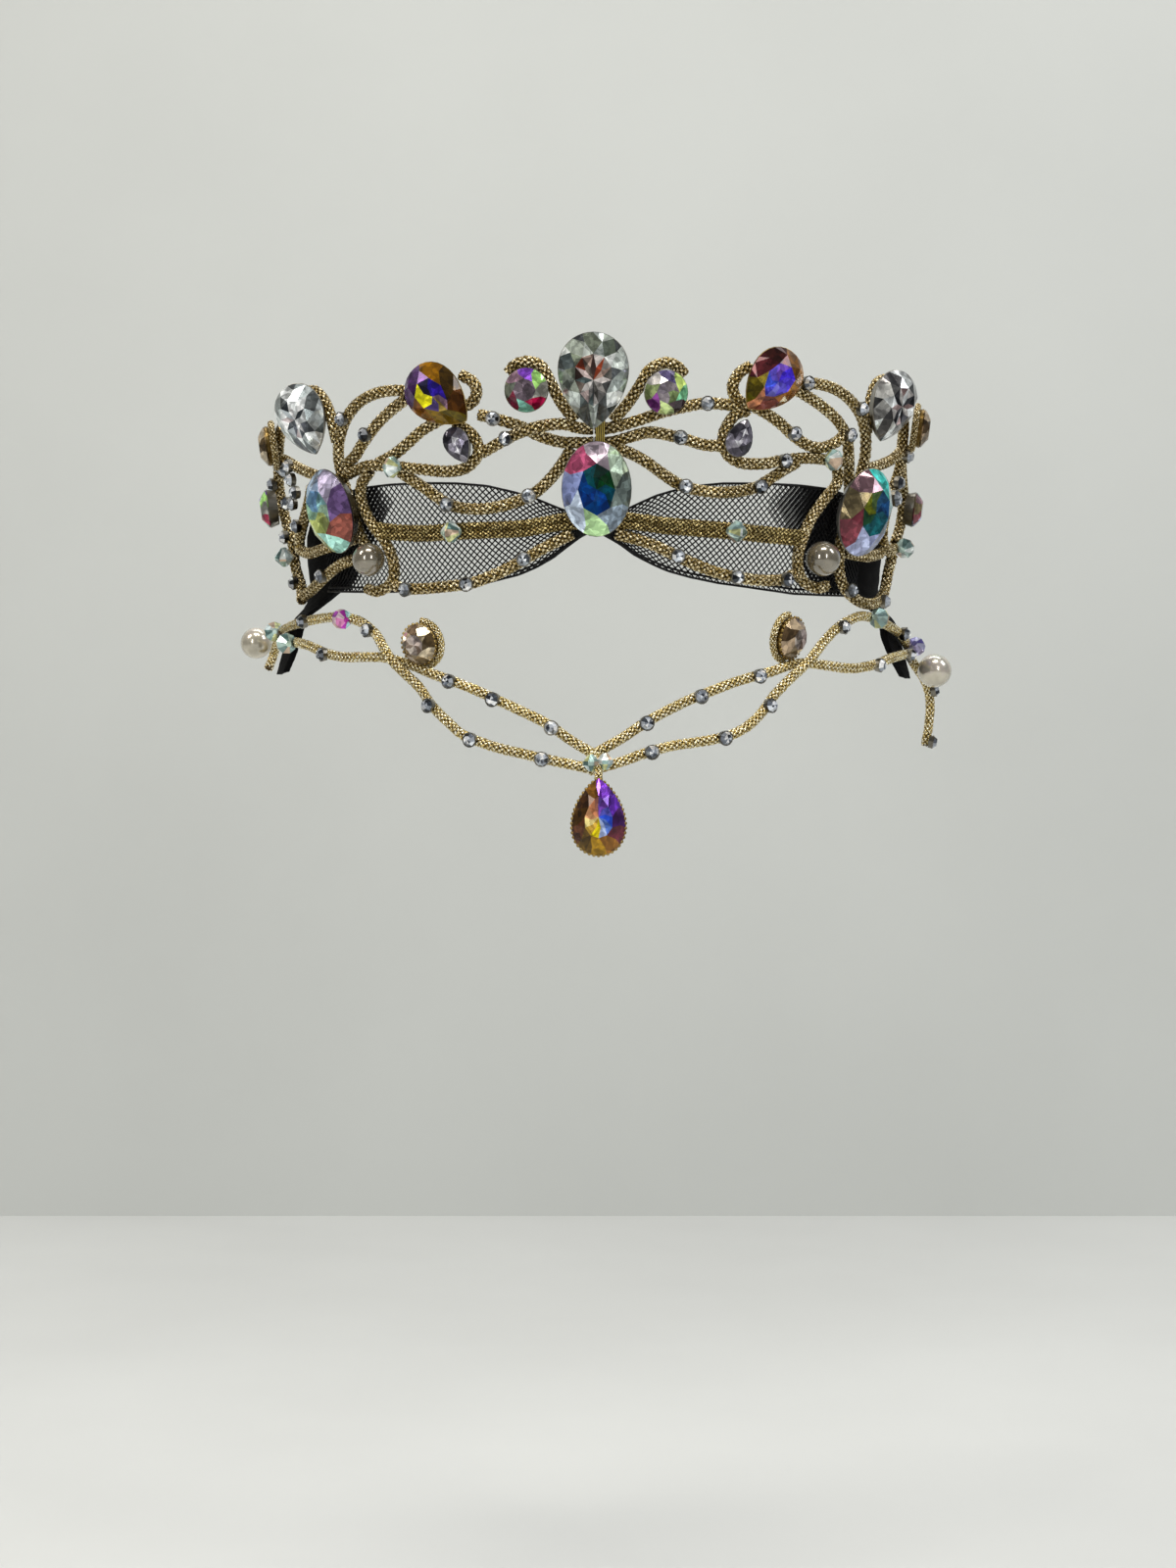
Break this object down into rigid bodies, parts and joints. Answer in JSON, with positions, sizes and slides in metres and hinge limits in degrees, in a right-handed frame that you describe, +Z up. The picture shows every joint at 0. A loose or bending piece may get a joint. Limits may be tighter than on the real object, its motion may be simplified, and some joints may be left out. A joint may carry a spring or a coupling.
{
  "type": "ballet tiara",
  "caption": "Open ballet tiara of gold braided cord scrolls sewn with cut glass stones over a black net band, with a two-strand forehead drape and a pear drop.",
  "frame": {"origin": "centre of the opening that the head goes in, level with the lower edge of the tiara's front", "axes": "+Z up, +X to the right of someone who faces the tiara's front, +Y towards the open back"},
  "size_m": [0.1569, 0.0958, 0.0995],
  "materials": {
    "gold_cord": "braided antique gold metallic yarn on a wire core",
    "drape_cord": "braided light gold metallic yarn on a wire core",
    "thread": "wound yellow gold thread",
    "clear_glass": "cut and foiled, clear",
    "rainbow_glass": "cut and foiled, with a rainbow coating",
    "amber_glass": "cut and foiled, amber with a coloured coating",
    "smoky_glass": "cut and foiled, smoky brown",
    "pearl": "imitation pearl",
    "net": "stiff black diamond net",
    "velvet": "black velvet ribbon"
  },
  "bodies": {
    "root": {"centre_pear": "clear_glass", "centre_oval": "rainbow_glass", "drop": "amber_glass", "thread_binding": "thread", "left_upper_strand": "gold_cord", "left_crossing_strand": "gold_cord", "left_round_scroll": "gold_cord", "left_tall_arch": "gold_cord", "left_mid_arch": "gold_cord", "left_hook": "gold_cord", "left_low_arch": "gold_cord", "left_scallop": "gold_cord", "left_pearl_wave": "gold_cord", "left_bottom_curve": "gold_cord", "left_edge_scroll": "gold_cord", "left_side_loop": "gold_cord", "left_side_curve": "gold_cord", "left_middle_pair": "gold_cord", "left_drape_rising": "drape_cord", "left_drape_falling": "drape_cord", "left_round_stone": "rainbow_glass", "left_amber_pear": "amber_glass", "left_small_pear": "clear_glass", "left_clear_pear": "clear_glass", "left_side_oval": "rainbow_glass", "left_end_stone": "smoky_glass", "left_edge_stone": "rainbow_glass", "left_brown_oval": "smoky_glass", "left_front_pearl": "pearl", "left_end_pearl": "pearl", "left_net": "net", "left_velvet_tab": "velvet", "right_upper_strand": "gold_cord", "right_crossing_strand": "gold_cord", "right_round_scroll": "gold_cord", "right_tall_arch": "gold_cord", "right_mid_arch": "gold_cord", "right_hook": "gold_cord", "right_low_arch": "gold_cord", "right_scallop": "gold_cord", "right_pearl_wave": "gold_cord", "right_bottom_curve": "gold_cord", "right_edge_scroll": "gold_cord", "right_side_loop": "gold_cord", "right_side_curve": "gold_cord", "right_middle_pair": "gold_cord", "right_drape_rising": "drape_cord", "right_drape_falling": "drape_cord", "right_round_stone": "rainbow_glass", "right_amber_pear": "amber_glass", "right_small_pear": "clear_glass", "right_clear_pear": "clear_glass", "right_side_oval": "rainbow_glass", "right_end_stone": "smoky_glass", "right_edge_stone": "rainbow_glass", "right_brown_oval": "smoky_glass", "right_front_pearl": "pearl", "right_end_pearl": "pearl", "right_net": "net", "right_velvet_tab": "velvet"}
  },
  "joints": []
}
